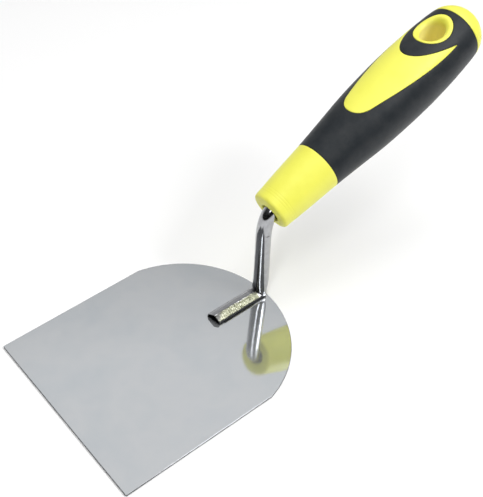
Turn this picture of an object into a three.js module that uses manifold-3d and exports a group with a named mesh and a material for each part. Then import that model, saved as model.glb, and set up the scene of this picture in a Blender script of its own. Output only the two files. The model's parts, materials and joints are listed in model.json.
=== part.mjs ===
// A plasterer's gauging trowel: a flat blade with a round back, a bent tube neck and a two-part handle.
// Millimetres, +Z up. The origin is the middle of the blade's flat underside, +X runs across the blade
// and +Y runs back towards the handle.

import * as THREE from 'three';
import { mergeVertices } from 'three/addons/utils/BufferGeometryUtils.js';
import Module from 'manifold-3d';

const wasm = await Module();
wasm.setup();

// ---------- Driving dimensions ----------
// Lengths along Y count from the blade's straight front edge.

const BLADE_FRONT_WIDTH = 100;
const BLADE_THICKNESS = 1;
const BLADE_SIDE_LENGTH = 79.2;
const BLADE_BACK_RADIUS = 52.8;
const BLADE_BACK_CENTRE = 68.4;
const BLADE_LENGTH = BLADE_BACK_CENTRE + BLADE_BACK_RADIUS;
const BLADE_ARC_SEGMENTS = 64;

// The leg stands on the heel and narrows a little to the bend at its top. The bend starts and ends at
// these lengths before and past the corner where the leg's centre line meets the handle's.
const TUBE_RADIUS = 4;
const NECK_RADIUS = 3.8;
const TUBE_WALL = 0.8;
const TUBE_SIDES = 32;
const LEG_LEAN = THREE.MathUtils.degToRad(2.35);
const LEG_LENGTH = 48.12;
const NECK_BEND_BEFORE = 14;
const NECK_BEND_AFTER = 7;

// The foot is the tube pressed to a low roof. It meets the leg in a sharp crease on top of the heel.
const FOOT_FRONT = 87.7;
const FOOT_HALF_WIDTH = 4.3;
const FOOT_EAVE = 2.1;
const FOOT_EAVE_HALF_WIDTH = 3.8;
const FOOT_RIDGE = 4.15;
const FOOT_ROOF_POWER = 1.12; // 1 would make two flat facets, 2 a round arch
const EAVE_WALL_SHARE = 0.7; // how much lower the bore's eaves and ridge lie than the outer ones, in walls
const RIDGE_WALL_SHARE = 1.15;
const FOOT_CORNER_TURN = Math.PI / 8; // how far below its eaves, round the tube, the foot meets its sole
const CREASE_BACK = 114.93;
const CREASE_GAP = 0.1;
const CREASE_POWER = 7;
// Over the crease the bend draws the leg's back in and makes its sides bulge, up to this height.
const HEEL_TUCK = 1.7;
const HEEL_BULGE = 0.3;
const HEEL_HEIGHT = 8.5;
const HEEL_ROUND_FROM = 0.3; // the share of the heel's turn after which the sides start to become round

const SEAM_FRONT = 91;
const SEAM_LENGTH = 20;
const SEAM_WIDTH = 0.6;
const SEAM_HEIGHT = 0.5;

// Lengths along the handle count from its nose, and its centre line tilts up by HANDLE_TILT.
const HANDLE_TILT = THREE.MathUtils.degToRad(24.3);
const NECK_CORNER_TO_NOSE = 3.8;
const BUTT_LENGTH = 143.7;
const BUTT_START = 132;
const HANDLE_SEGMENTS = 44;

const GRIP_START = 32.3;
const GRIP_END = 131.4;
const GRIP_THICKNESS = 2.5;
const MOULDING_GAP = 0.3;

const TANG_LENGTH = 88;
const TANG_BORE_LENGTH = 68;
const TANG_ROUND_TO = 70;
const TANG_FLAT_FROM = 78;
const TANG_TIP_HALF_WIDTH = 5.6;
const TANG_TIP_HALF_THICKNESS = 1.7;
const NOSE_MOUTH_RADIUS = 5;
const NOSE_MOUTH_DROP = 0.8; // its centre lies this far under the centre line, where the neck bends away
const NOSE_MOUTH_DEPTH = 4;

const EYELET_CENTRE = 117.2;
const EYELET_HALF_LENGTH = 10.5;
const EYELET_HALF_WIDTH = 8.7;
const HOLE_CENTRE = 116.5;
const HOLE_HALF_LENGTH = 7.7;
const HOLE_HALF_WIDTH = 5.8;
const HOLE_WAIST = 0.86;
const HOLE_MOUTH_HEIGHT = 16.6;

const BEYOND = 25; // cutters reach past every surface of the handle by being this far from its centre line

// ---------- Solids ----------

// A closed geometry as a solid that can be joined and cut.
function solidOf(geometry) {
  const bare = geometry.clone();
  bare.deleteAttribute('normal');
  bare.deleteAttribute('uv');
  const merged = mergeVertices(bare, 1e-4);
  const vertProperties = new Float32Array(merged.attributes.position.array);
  const triVerts = new Uint32Array(merged.index.array);
  return new wasm.Manifold(new wasm.Mesh({ numProp: 3, vertProperties, triVerts }));
}

// A solid as a plain geometry.
function geometryOf(solid) {
  const { vertProperties, triVerts } = solid.getMesh();
  const geometry = new THREE.BufferGeometry();
  geometry.setAttribute('position', new THREE.BufferAttribute(vertProperties, 3));
  geometry.setIndex(new THREE.BufferAttribute(triVerts, 1));
  geometry.computeVertexNormals();
  return geometry;
}

function namedMesh(name, geometry, material) {
  const mesh = new THREE.Mesh(geometry, material);
  mesh.name = name;
  return mesh;
}

// ---------- Lofts ----------

// A closed solid over rings of points that follow one another, each with the same number of points.
function loft(rings) {
  const count = rings[0].length;
  const last = (rings.length - 1) * count;
  const faces = [];
  for (let row = 0; row < last; row += count) {
    for (let i = 0; i < count; i += 1) {
      const here = row + i;
      const next = row + ((i + 1) % count);
      faces.push(here, next + count, next, here, here + count, next + count);
    }
  }
  for (let i = 1; i < count - 1; i += 1) {
    faces.push(0, i, i + 1, last, last + i + 1, last + i);
  }
  const geometry = new THREE.BufferGeometry();
  geometry.setFromPoints(rings.flat());
  geometry.setIndex(faces);
  return solidOf(geometry);
}

// Values from 0 to 1 in even steps.
function shares(steps) {
  return Array.from({ length: steps + 1 }, (_, i) => i / steps);
}

// ---------- Blade ----------

function bladeGeometry() {
  const shoulderAngle = Math.asin((BLADE_SIDE_LENGTH - BLADE_BACK_CENTRE) / BLADE_BACK_RADIUS);
  const outline = new THREE.Shape();
  outline.moveTo(-BLADE_FRONT_WIDTH / 2, 0);
  outline.lineTo(BLADE_FRONT_WIDTH / 2, 0);
  outline.absarc(0, BLADE_BACK_CENTRE, BLADE_BACK_RADIUS, shoulderAngle, Math.PI - shoulderAngle);
  outline.closePath();
  return new THREE.ExtrudeGeometry(outline, {
    depth: BLADE_THICKNESS,
    bevelEnabled: false,
    curveSegments: BLADE_ARC_SEGMENTS,
  });
}

// ---------- Gooseneck ----------
// The tube is a loft over rings of points square to it. A heading is the tube's direction in the middle
// plane, counted up from +Y. Each ring starts on the +X side and first turns over the tube's upper side.

const turns = shares(TUBE_SIDES).slice(1).map((share) => 2 * Math.PI * share);
const legHeading = Math.PI / 2 + LEG_LEAN;
const crease = new THREE.Vector3(0, CREASE_BACK, BLADE_THICKNESS + FOOT_RIDGE + CREASE_GAP);
const legBase = crease.clone().addScaledVector(below(legHeading), TUBE_RADIUS + CREASE_GAP);
const neckCorner = legBase.clone().addScaledVector(ahead(legHeading), LEG_LENGTH);
const nosePoint = neckCorner.clone().addScaledVector(ahead(HANDLE_TILT), NECK_CORNER_TO_NOSE);

function ahead(heading) {
  return new THREE.Vector3(0, Math.cos(heading), Math.sin(heading));
}

function below(heading) {
  return new THREE.Vector3(0, Math.sin(heading), -Math.cos(heading));
}

function ringAt(place, heading, halfWidth, halfHeight) {
  return turns.map((turn) => {
    const point = place.clone().addScaledVector(below(heading), -halfHeight * Math.sin(turn));
    point.x += halfWidth * Math.cos(turn);
    return point;
  });
}

// The foot's section at one turn round the tube, inset from its outside.
function footSection(turn, inset) {
  const across = Math.cos(turn);
  const up = Math.sin(turn);
  const eave = FOOT_EAVE - EAVE_WALL_SHARE * inset;
  const ridge = FOOT_RIDGE - RIDGE_WALL_SHARE * inset;
  const fall = Math.min(1, -up / Math.sin(FOOT_CORNER_TURN));
  let halfWidth = THREE.MathUtils.lerp(FOOT_EAVE_HALF_WIDTH, FOOT_HALF_WIDTH, fall) - inset;
  let height = THREE.MathUtils.lerp(eave, inset, fall);
  if (fall === 1) halfWidth *= Math.abs(across) / Math.cos(FOOT_CORNER_TURN);
  if (up > 0) {
    halfWidth = (FOOT_EAVE_HALF_WIDTH - inset) * Math.abs(across) ** (2 / FOOT_ROOF_POWER);
    height = THREE.MathUtils.lerp(eave, ridge, up ** (2 / FOOT_ROOF_POWER));
  }
  return new THREE.Vector3(Math.sign(across) * halfWidth, 0, BLADE_THICKNESS + height);
}

function footFrontRing(front, inset) {
  return turns.map((turn) => footSection(turn, inset).setY(front));
}

// A ring of the heel. The rings fan round the crease, from the foot's section to the leg's circle.
function heelRing(share, inset) {
  const heading = share * legHeading;
  const radius = TUBE_RADIUS - inset;
  return turns.map((turn) => {
    const foot = footSection(turn, inset);
    const up = Math.sin(turn);
    const footGap = crease.z - foot.z;
    const legGap = TUBE_RADIUS + CREASE_GAP - radius * up - backTuck(turn);
    const footPart = (Math.cos((share * Math.PI) / 2) / footGap) ** CREASE_POWER;
    const legPart = (Math.sin((share * Math.PI) / 2) / legGap) ** CREASE_POWER;
    const gap = (footPart + legPart) ** (-1 / CREASE_POWER);
    const point = crease.clone().addScaledVector(below(heading), gap);
    const round = THREE.MathUtils.smoothstep(share, HEEL_ROUND_FROM, 1);
    point.x = THREE.MathUtils.lerp(foot.x, (radius + HEEL_BULGE) * Math.cos(turn), round);
    return point;
  });
}

// How far the back of the leg is drawn in at the crease. Its front stays where it is.
function backTuck(turn) {
  return (HEEL_TUCK * (1 - Math.sin(turn))) / 2;
}

// The stretch of the leg over the heel, where the tuck and the bulge fade out.
function ankleRings(inset) {
  return shares(4).slice(1).map((share) => {
    const place = legBase.clone().addScaledVector(ahead(legHeading), share * HEEL_HEIGHT);
    const squeeze = (1 - share) ** 2;
    const radius = TUBE_RADIUS - inset;
    const ring = ringAt(place, legHeading, radius + HEEL_BULGE * squeeze, radius);
    ring.forEach((point, i) => point.addScaledVector(below(legHeading), -squeeze * backTuck(turns[i])));
    return ring;
  });
}

// The bend between the leg and the tang tightens towards the handle.
function neckRings(radius) {
  const start = neckCorner.clone().addScaledVector(ahead(legHeading), -NECK_BEND_BEFORE);
  const end = neckCorner.clone().addScaledVector(ahead(HANDLE_TILT), NECK_BEND_AFTER);
  const bend = new THREE.QuadraticBezierCurve3(start, neckCorner, end);
  return shares(11).map((share) => {
    const direction = bend.getTangent(share);
    return ringAt(bend.getPoint(share), Math.atan2(direction.z, direction.y), radius, radius);
  });
}

// A ring of the tang, which is pressed flat and wide near its tip, grown by `margin`.
function tangRing(length, origin, heading, margin) {
  const flat = THREE.MathUtils.smoothstep(length, TANG_ROUND_TO, TANG_FLAT_FROM);
  const place = origin.clone().addScaledVector(ahead(heading), length);
  const halfWidth = THREE.MathUtils.lerp(NECK_RADIUS, TANG_TIP_HALF_WIDTH, flat) + margin;
  const halfHeight = THREE.MathUtils.lerp(NECK_RADIUS, TANG_TIP_HALF_THICKNESS, flat) + margin;
  return ringAt(place, heading, halfWidth, halfHeight);
}

function tangLengths() {
  const flattening = shares(6).map((share) => THREE.MathUtils.lerp(TANG_ROUND_TO, TANG_FLAT_FROM, share));
  return [...flattening, TANG_LENGTH];
}

function gooseneckGeometry() {
  const heelSteps = 14;
  const outside = loft([
    footFrontRing(FOOT_FRONT, 0),
    ...shares(heelSteps).map((share) => heelRing(share, 0)),
    ...ankleRings(0),
    ...neckRings(NECK_RADIUS),
    ...tangLengths().map((length) => tangRing(length, nosePoint, HANDLE_TILT, 0)),
  ]);
  const bore = loft([
    footFrontRing(FOOT_FRONT - 1, TUBE_WALL),
    ...shares(heelSteps).map((share) => heelRing(share, TUBE_WALL)),
    ...ankleRings(TUBE_WALL),
    ...neckRings(NECK_RADIUS - TUBE_WALL),
    tangRing(TANG_BORE_LENGTH, nosePoint, HANDLE_TILT, -TUBE_WALL),
  ]);
  return geometryOf(outside.subtract(bore));
}

// ---------- Weld seams ----------

// A fillet in the corner between the blade and the foot's leaning side.
function seamGeometry() {
  const lean = (SEAM_HEIGHT * (FOOT_HALF_WIDTH - FOOT_EAVE_HALF_WIDTH)) / FOOT_EAVE;
  const bead = new THREE.Shape();
  bead.moveTo(0, 0);
  bead.lineTo(SEAM_WIDTH, 0);
  bead.quadraticCurveTo(SEAM_WIDTH * 0.8, SEAM_HEIGHT * 0.8, -lean, SEAM_HEIGHT);
  bead.closePath();
  const geometry = new THREE.ExtrudeGeometry(bead, {
    depth: SEAM_LENGTH,
    bevelEnabled: false,
    curveSegments: 5,
  });
  return geometry.rotateX(Math.PI / 2);
}

// ---------- Handle ----------
// Every handle piece is drawn in the handle's own frame: +Y along its centre line from the nose to
// the butt, and +Z up through the window and the hanging hole.

const gripLine = new THREE.SplineCurve([
  new THREE.Vector2(10.5, 1.1),
  new THREE.Vector2(11.8, 16),
  new THREE.Vector2(13.0, 32),
  new THREE.Vector2(14.6, 48),
  new THREE.Vector2(16.25, 64),
  new THREE.Vector2(17.1, 80),
  new THREE.Vector2(17.4, 96),
  new THREE.Vector2(16.9, 112),
  new THREE.Vector2(15.8, 126),
  new THREE.Vector2(15.0, BUTT_START),
]);

// The handle's radius and place at a length along it, found by halving.
function outlineAt(length, outset = 0) {
  let low = 0;
  let high = 1;
  for (let i = 0; i < 30; i += 1) {
    const middle = (low + high) / 2;
    if (gripLine.getPoint(middle).y < length) low = middle;
    else high = middle;
  }
  return new THREE.Vector2(gripLine.getPoint(low).x + outset, length);
}

function handleOutline() {
  const nose = new THREE.Path();
  nose.moveTo(0, -0.9);
  nose.lineTo(8.9, -0.35);
  nose.quadraticCurveTo(10.35, -0.2, 10.5, 1.1);
  const butt = new THREE.CubicBezierCurve(
    new THREE.Vector2(15.0, BUTT_START),
    new THREE.Vector2(14.2, 137),
    new THREE.Vector2(8.5, BUTT_LENGTH),
    new THREE.Vector2(0, BUTT_LENGTH),
  );
  const sides = gripLine.getPoints(18);
  return [...nose.getPoints(4), ...sides.slice(1), ...butt.getPoints(9).slice(1)];
}

// A ring-shaped skin of the handle, between two depths below its surface and two lengths along it.
function skin(start, end, outset, depth) {
  const rows = 12;
  const lengths = Array.from({ length: rows + 1 }, (_, i) => start + ((end - start) * i) / rows);
  const outer = lengths.map((length) => outlineAt(length, outset));
  const inner = lengths.map((length) => outlineAt(length, -depth)).reverse();
  const profile = [...outer, ...inner, outer[0].clone()];
  return solidOf(new THREE.LatheGeometry(profile, HANDLE_SEGMENTS));
}

// The outline of the window seen from above. It grows by `margin` on every side.
function windowShape(margin) {
  const tip = 57.4 - margin;
  const shoulder = new THREE.Vector2(7.65 + margin, 65);
  const horn = new THREE.Vector2(12.85, 119.5 + 2 * margin);
  const rear = 96.6 + margin;
  const shape = new THREE.Shape();
  shape.moveTo(0, tip);
  shape.bezierCurveTo(4.5, tip, 6.8 + margin, 61, shoulder.x, shoulder.y);
  shape.bezierCurveTo(10.9 + margin, 79, 14.9 + margin, 99.5, horn.x, horn.y);
  shape.bezierCurveTo(11 - margin, 107 + margin, 6.5, rear, 0, rear);
  shape.bezierCurveTo(-6.5, rear, margin - 11, 107 + margin, -horn.x, horn.y);
  shape.bezierCurveTo(-14.9 - margin, 99.5, -10.9 - margin, 79, -shoulder.x, shoulder.y);
  shape.bezierCurveTo(-6.8 - margin, 61, -4.5, tip, 0, tip);
  return shape;
}

function eyeletShape(margin) {
  const shape = new THREE.Shape();
  const halfWidth = EYELET_HALF_WIDTH + margin;
  const halfLength = EYELET_HALF_LENGTH + margin;
  shape.absellipse(0, EYELET_CENTRE, halfWidth, halfLength, 0, 2 * Math.PI);
  return shape;
}

function prism(shape, bottom, top, curveSegments) {
  const options = { depth: top - bottom, bevelEnabled: false, curveSegments };
  return solidOf(new THREE.ExtrudeGeometry(shape, options).translate(0, 0, bottom));
}

// Everything of the core that reaches the surface inside the grip: the window land and the eyelet.
function lands(margin) {
  const windowLand = prism(windowShape(margin), 0, BEYOND, 8);
  const eyelet = prism(eyeletShape(margin), -BEYOND, BEYOND, 14);
  return windowLand.add(eyelet);
}

// The hanging hole: an oval funnel that opens both up and down from a waist in the middle.
function hangingHole() {
  const rows = 6;
  const profile = [new THREE.Vector2(0, -BEYOND)];
  for (let i = -rows; i <= rows; i += 1) {
    const height = (BEYOND * i) / rows;
    const flare = Math.min(1, (height / HOLE_MOUTH_HEIGHT) ** 2);
    profile.push(new THREE.Vector2(THREE.MathUtils.lerp(HOLE_WAIST, 1, flare), height));
  }
  profile.push(new THREE.Vector2(0, BEYOND));
  const geometry = new THREE.LatheGeometry(profile, 28).rotateX(Math.PI / 2);
  geometry.scale(HOLE_HALF_WIDTH, HOLE_HALF_LENGTH, 1).translate(0, HOLE_CENTRE, 0);
  return solidOf(geometry);
}

function tangPocket() {
  const lengths = [-2, ...tangLengths().slice(0, -1), TANG_LENGTH + MOULDING_GAP];
  const pocket = loft(lengths.map((length) => tangRing(length, new THREE.Vector3(), 0, MOULDING_GAP)));
  const mouth = new THREE.CylinderGeometry(NOSE_MOUTH_RADIUS, NOSE_MOUTH_RADIUS, 2 * NOSE_MOUTH_DEPTH, 32);
  mouth.translate(0, 0, -NOSE_MOUTH_DROP);
  return pocket.add(solidOf(mouth));
}

function coreGeometry() {
  const body = solidOf(new THREE.LatheGeometry(handleOutline(), HANDLE_SEGMENTS));
  const depth = GRIP_THICKNESS + MOULDING_GAP;
  const seat = skin(GRIP_START, GRIP_END, 1, depth).subtract(lands(0));
  return geometryOf(body.subtract(seat).subtract(hangingHole()).subtract(tangPocket()));
}

function gripGeometry() {
  const sleeve = skin(GRIP_START + MOULDING_GAP, GRIP_END - MOULDING_GAP, 0, GRIP_THICKNESS);
  return geometryOf(sleeve.subtract(lands(MOULDING_GAP)));
}

// ---------- Materials ----------

function bladeSteel() {
  return new THREE.MeshStandardMaterial({ color: 0xc4c6c9, metalness: 1, roughness: 0.08 });
}

function neckSteel() {
  return new THREE.MeshStandardMaterial({ color: 0xb4b6ba, metalness: 1, roughness: 0.15 });
}

function weldMetal() {
  return new THREE.MeshStandardMaterial({ color: 0x8c8c8a, metalness: 1, roughness: 0.45 });
}

function yellowPlastic() {
  return new THREE.MeshStandardMaterial({ color: 0xf3ea4e, metalness: 0, roughness: 0.35 });
}

function darkElastomer() {
  return new THREE.MeshStandardMaterial({ color: 0x3f444a, metalness: 0, roughness: 0.7 });
}

// ---------- Assembly ----------

function weldSeam(name, side) {
  const seam = namedMesh(name, seamGeometry(), weldMetal());
  if (side < 0) seam.geometry.rotateZ(Math.PI).translate(0, -SEAM_LENGTH, 0);
  seam.position.set(side * FOOT_HALF_WIDTH, SEAM_FRONT + SEAM_LENGTH, BLADE_THICKNESS);
  return seam;
}

const handle = new THREE.Group();
handle.position.copy(nosePoint);
handle.rotation.x = HANDLE_TILT;
handle.add(namedMesh('handle_core', coreGeometry(), yellowPlastic()));
handle.add(namedMesh('grip_sleeve', gripGeometry(), darkElastomer()));

const trowel = new THREE.Group();
trowel.position.y = -BLADE_LENGTH / 2;
trowel.add(namedMesh('blade', bladeGeometry(), bladeSteel()));
trowel.add(namedMesh('gooseneck', gooseneckGeometry(), neckSteel()));
trowel.add(weldSeam('weld_seam_right', 1));
trowel.add(weldSeam('weld_seam_left', -1));
trowel.add(handle);

const part = new THREE.Group();
part.add(trowel);

export default part;
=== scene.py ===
import json
import math

import bmesh
import bpy
import numpy as np
from mathutils import Matrix, Vector, noise
from mathutils.geometry import delaunay_2d_cdt


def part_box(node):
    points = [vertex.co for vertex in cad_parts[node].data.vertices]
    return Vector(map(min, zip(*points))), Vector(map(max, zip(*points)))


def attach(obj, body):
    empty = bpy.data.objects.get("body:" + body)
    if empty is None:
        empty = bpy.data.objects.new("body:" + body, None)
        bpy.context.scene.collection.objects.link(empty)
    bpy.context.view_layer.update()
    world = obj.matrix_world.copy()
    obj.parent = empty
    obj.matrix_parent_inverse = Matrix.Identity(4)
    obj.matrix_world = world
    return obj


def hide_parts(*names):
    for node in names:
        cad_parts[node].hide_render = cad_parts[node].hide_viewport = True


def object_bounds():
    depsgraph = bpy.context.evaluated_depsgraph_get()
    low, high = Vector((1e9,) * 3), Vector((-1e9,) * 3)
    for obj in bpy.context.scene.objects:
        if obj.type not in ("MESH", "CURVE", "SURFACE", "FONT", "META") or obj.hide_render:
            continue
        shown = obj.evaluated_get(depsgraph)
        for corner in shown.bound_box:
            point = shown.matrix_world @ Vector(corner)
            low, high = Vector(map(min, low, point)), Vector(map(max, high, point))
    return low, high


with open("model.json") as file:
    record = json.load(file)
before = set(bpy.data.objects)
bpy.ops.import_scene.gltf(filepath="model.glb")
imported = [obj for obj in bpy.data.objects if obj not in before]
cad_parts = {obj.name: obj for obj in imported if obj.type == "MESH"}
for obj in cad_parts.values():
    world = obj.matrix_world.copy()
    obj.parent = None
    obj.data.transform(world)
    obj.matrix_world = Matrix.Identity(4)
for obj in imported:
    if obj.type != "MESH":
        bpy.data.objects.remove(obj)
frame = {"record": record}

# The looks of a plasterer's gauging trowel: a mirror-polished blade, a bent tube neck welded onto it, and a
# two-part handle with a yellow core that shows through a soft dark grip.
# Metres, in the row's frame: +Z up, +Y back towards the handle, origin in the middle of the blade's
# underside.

cad_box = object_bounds()

MM = 0.001
BODY = "root"

# ---------- Places that come from the frame ----------

blade_low, blade_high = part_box("blade")
neck_low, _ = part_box("gooseneck")
hole_mount = next(m for m in frame["record"]["mounts"] if m["name"] == "hanging_hole")

FRONT = blade_low.y
BLADE_TOP = blade_high.z

# ---------- Driving dimensions, in millimetres ----------
# Lengths along the blade count from its straight front edge, heights from its underside.

BLADE_HALF_FRONT = 50.0
BLADE_SIDE_LENGTH = 79.2
BLADE_BACK_RADIUS = 52.8
BLADE_BACK_CENTRE = 68.4
BLADE_THICKNESS = BLADE_TOP / MM
BLADE_CORNER_RADIUS = 0.7
BLADE_EDGE_RADIUS = 0.28

TUBE_RADIUS = 4.0
NECK_RADIUS = 3.8
TUBE_WALL = 0.8
MOUTH_WALL = 0.42
LEG_HEADING = math.radians(92.35)
LEG_LENGTH = 48.12
NECK_BEND_BEFORE = 14.0
NECK_BEND_AFTER = 7.0
FOOT_FRONT = (neck_low.y - FRONT) / MM
FOOT_HALF_WIDTH = 4.3
FOOT_EAVE_HALF_WIDTH = 3.8
FOOT_EAVE = 2.1
FOOT_RIDGE = 4.15
FOOT_RIDGE_X = 0.5
FOOT_ROOF_POWER = 1.12
FOOT_CORNER_TURN = math.pi / 8
FOOT_SKEW = 0.1
FOOT_TAPER = 6.0
EAVE_WALL_SHARE = 0.7
RIDGE_WALL_SHARE = 1.15
TUBE_LIP = 0.15
# Along the foot: where the stipple, rubbed end, struck facet and the painted shade in the bore start or
# stop.
STIPPLE_START = (91.0, 93.5)
STIPPLE_END = (112.5, 114.5)
RUBBED_END = 91.5
PITTED_START = 94.0
STRUCK_END = 115.3
BORE_SHADE_END = 100.0
# The crease between the foot and the leg, and the heel under it.
CREASE_GAP = 0.1
CREASE = (114.93, BLADE_THICKNESS + FOOT_RIDGE + CREASE_GAP)
CREASE_POWER = 7.0
HEEL_TUCK = 1.7
HEEL_BULGE = 0.3
HEEL_HEIGHT = 8.5
HEEL_ROUND_FROM = 0.3
# The dash struck across the leg, and how its stain is squashed to a line.
DASH_HEIGHT = 43.5
DASH_TURN = math.radians(9)
DASH_DEPTH = 0.25
DASH_HALF_THICKNESS = 0.3
DASH_HALF_TURN = 0.2
DASH_SQUASH = (1 / MM, 1 / MM, 3.3 / MM)

SEAM_FRONT = 91.0
SEAM_LENGTH = 20.0
SEAM_WIDTH = 0.45
SEAM_HEIGHT = 0.45
SEAM_RIPPLE = 0.8
SEAM_SINK = 0.02
SEAM_LIFT = 0.01

# Lengths along the handle count from its nose.
HOLE_CENTRE = 116.5
HOLE_HALF_LENGTH = 7.7
HOLE_HALF_WIDTH = 5.8
HOLE_WAIST = 0.86
HOLE_MOUTH_HEIGHT = 16.6
HOLE_LIP_RADIUS = 1.9
EYELET_CENTRE = 117.2
EYELET_HALF_LENGTH = 10.5
EYELET_HALF_WIDTH = 8.7
WINDOW_FRONT = 57.4
WINDOW_SHOULDER = (7.65, 65)
WINDOW_HORN = (12.85, 119.5)
WINDOW_REAR = 96.6

HANDLE_LENGTH = 143.7
BUTT_START = 132.0
GRIP_START = 32.3
GRIP_END = 131.4
GRIP_THICKNESS = 2.5
CORE_MARGIN = 1.2
MOULDING_GAP = 0.3
VISIBLE_GAP = 0.13
EDGE_ROUNDING = 0.22
ROUNDING_STEPS = [0.03, 0.08, 0.15, EDGE_ROUNDING]
WALL_LEAN = 0.06

TANG_LENGTH = 88.0
TANG_BORE_LENGTH = 68.0
TANG_ROUND_TO = 70.0
TANG_FLAT_FROM = 78.0
TANG_TIP_HALF_WIDTH = 5.6
TANG_TIP_HALF_THICKNESS = 1.7
NOSE_MOUTH_RADIUS = 5.0
NOSE_MOUTH_DROP = 0.8
NOSE_MOUTH_DEPTH = 4.0
NOSE_MOUTH_LIP = 0.3
NOSE_FACE_RADIUS = 8.7
NOSE_FACE_GROOVES = (6.2, 7.0, 7.8)
COLLAR_GROOVES = (3.6, 4.9, 6.2)

handle_up = Vector(hole_mount["axis"]).normalized()
handle_along = handle_up.cross(Vector((1, 0, 0))).normalized()
nose_point = Vector(hole_mount["pos_m"]) - handle_along * HOLE_CENTRE * MM
HANDLE_TILT = math.atan2(handle_along.z, handle_along.y)


# ---------- Small helpers ----------


def lerp(a, b, t):
    return a + (b - a) * t


def smoothstep(x, low, high):
    t = min(1.0, max(0.0, (x - low) / (high - low)))
    return t * t * (3 - 2 * t)


def bezier(p0, p1, p2, p3, count):
    """Points of a cubic Bezier, without its last one."""
    t = np.linspace(0, 1, count, endpoint=False)[:, None]
    p0, p1, p2, p3 = (np.array(p, float) for p in (p0, p1, p2, p3))
    return (1 - t) ** 3 * p0 + 3 * (1 - t) ** 2 * t * p1 + 3 * (1 - t) * t**2 * p2 + t**3 * p3


def through(points, per_span):
    """A Catmull-Rom curve through points, with per_span steps between neighbours."""
    p = np.array(points, float)
    padded = np.vstack([2 * p[0] - p[1], p, 2 * p[-1] - p[-2]])
    curve = []
    for i in range(1, len(p)):
        before, start, end, after = padded[i - 1 : i + 3]
        for t in np.linspace(0, 1, per_span, endpoint=False):
            a = 2 * start
            b = end - before
            c = 2 * before - 5 * start + 4 * end - after
            d = -before + 3 * start - 3 * end + after
            curve.append(0.5 * (a + b * t + c * t**2 + d * t**3))
    curve.append(p[-1])
    return np.array(curve)


def on_blade(x, y, z):
    """A point counted from the blade's front edge, in millimetres, as a place in the frame."""
    return Vector((x * MM, FRONT + y * MM, z * MM))


def on_handle(x, s, z):
    """A point in the handle's own frame, in millimetres, as a place in the row's frame."""
    return nose_point + Vector((x * MM, 0, 0)) + handle_along * (s * MM) + handle_up * (z * MM)


def make_piece(name, points, faces, material, replaced, sharp_angle=50, weld=2e-6):
    """One closed mesh from points and faces, whose patches are welded where their borders meet."""
    mesh = bpy.data.meshes.new(name)
    mesh.from_pydata(points, [], faces)
    shell = bmesh.new()
    shell.from_mesh(mesh)
    bmesh.ops.remove_doubles(shell, verts=shell.verts, dist=weld)
    bmesh.ops.dissolve_degenerate(shell, edges=shell.edges, dist=weld / 4)
    bmesh.ops.recalc_face_normals(shell, faces=shell.faces)
    shell.to_mesh(mesh)
    shell.free()
    mesh.shade_smooth()
    mesh.set_sharp_from_angle(angle=math.radians(sharp_angle))
    mesh.materials.append(material)
    piece = bpy.data.objects.new(name, mesh)
    bpy.context.scene.collection.objects.link(piece)
    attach(piece, BODY)
    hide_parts(replaced)
    return piece


def strip_faces(first, second, count):
    """Quads between two closed rows of points that start at two indices."""
    return [(first + i, first + (i + 1) % count, second + (i + 1) % count, second + i) for i in range(count)]


def row_faces(first, rows):
    """Quads between neighbours in a list of closed rows, whose points start at an index."""
    count = len(rows[0])
    faces = []
    for level in range(len(rows) - 1):
        faces += strip_faces(first + level * count, first + (level + 1) * count, count)
    return faces


# ---------- Node materials ----------

# A mix node has sockets with the same names for numbers, vectors and colours. These are the colour ones.
MIX_FIRST = 6
MIX_SECOND = 7
MIX_RESULT = 2


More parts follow.
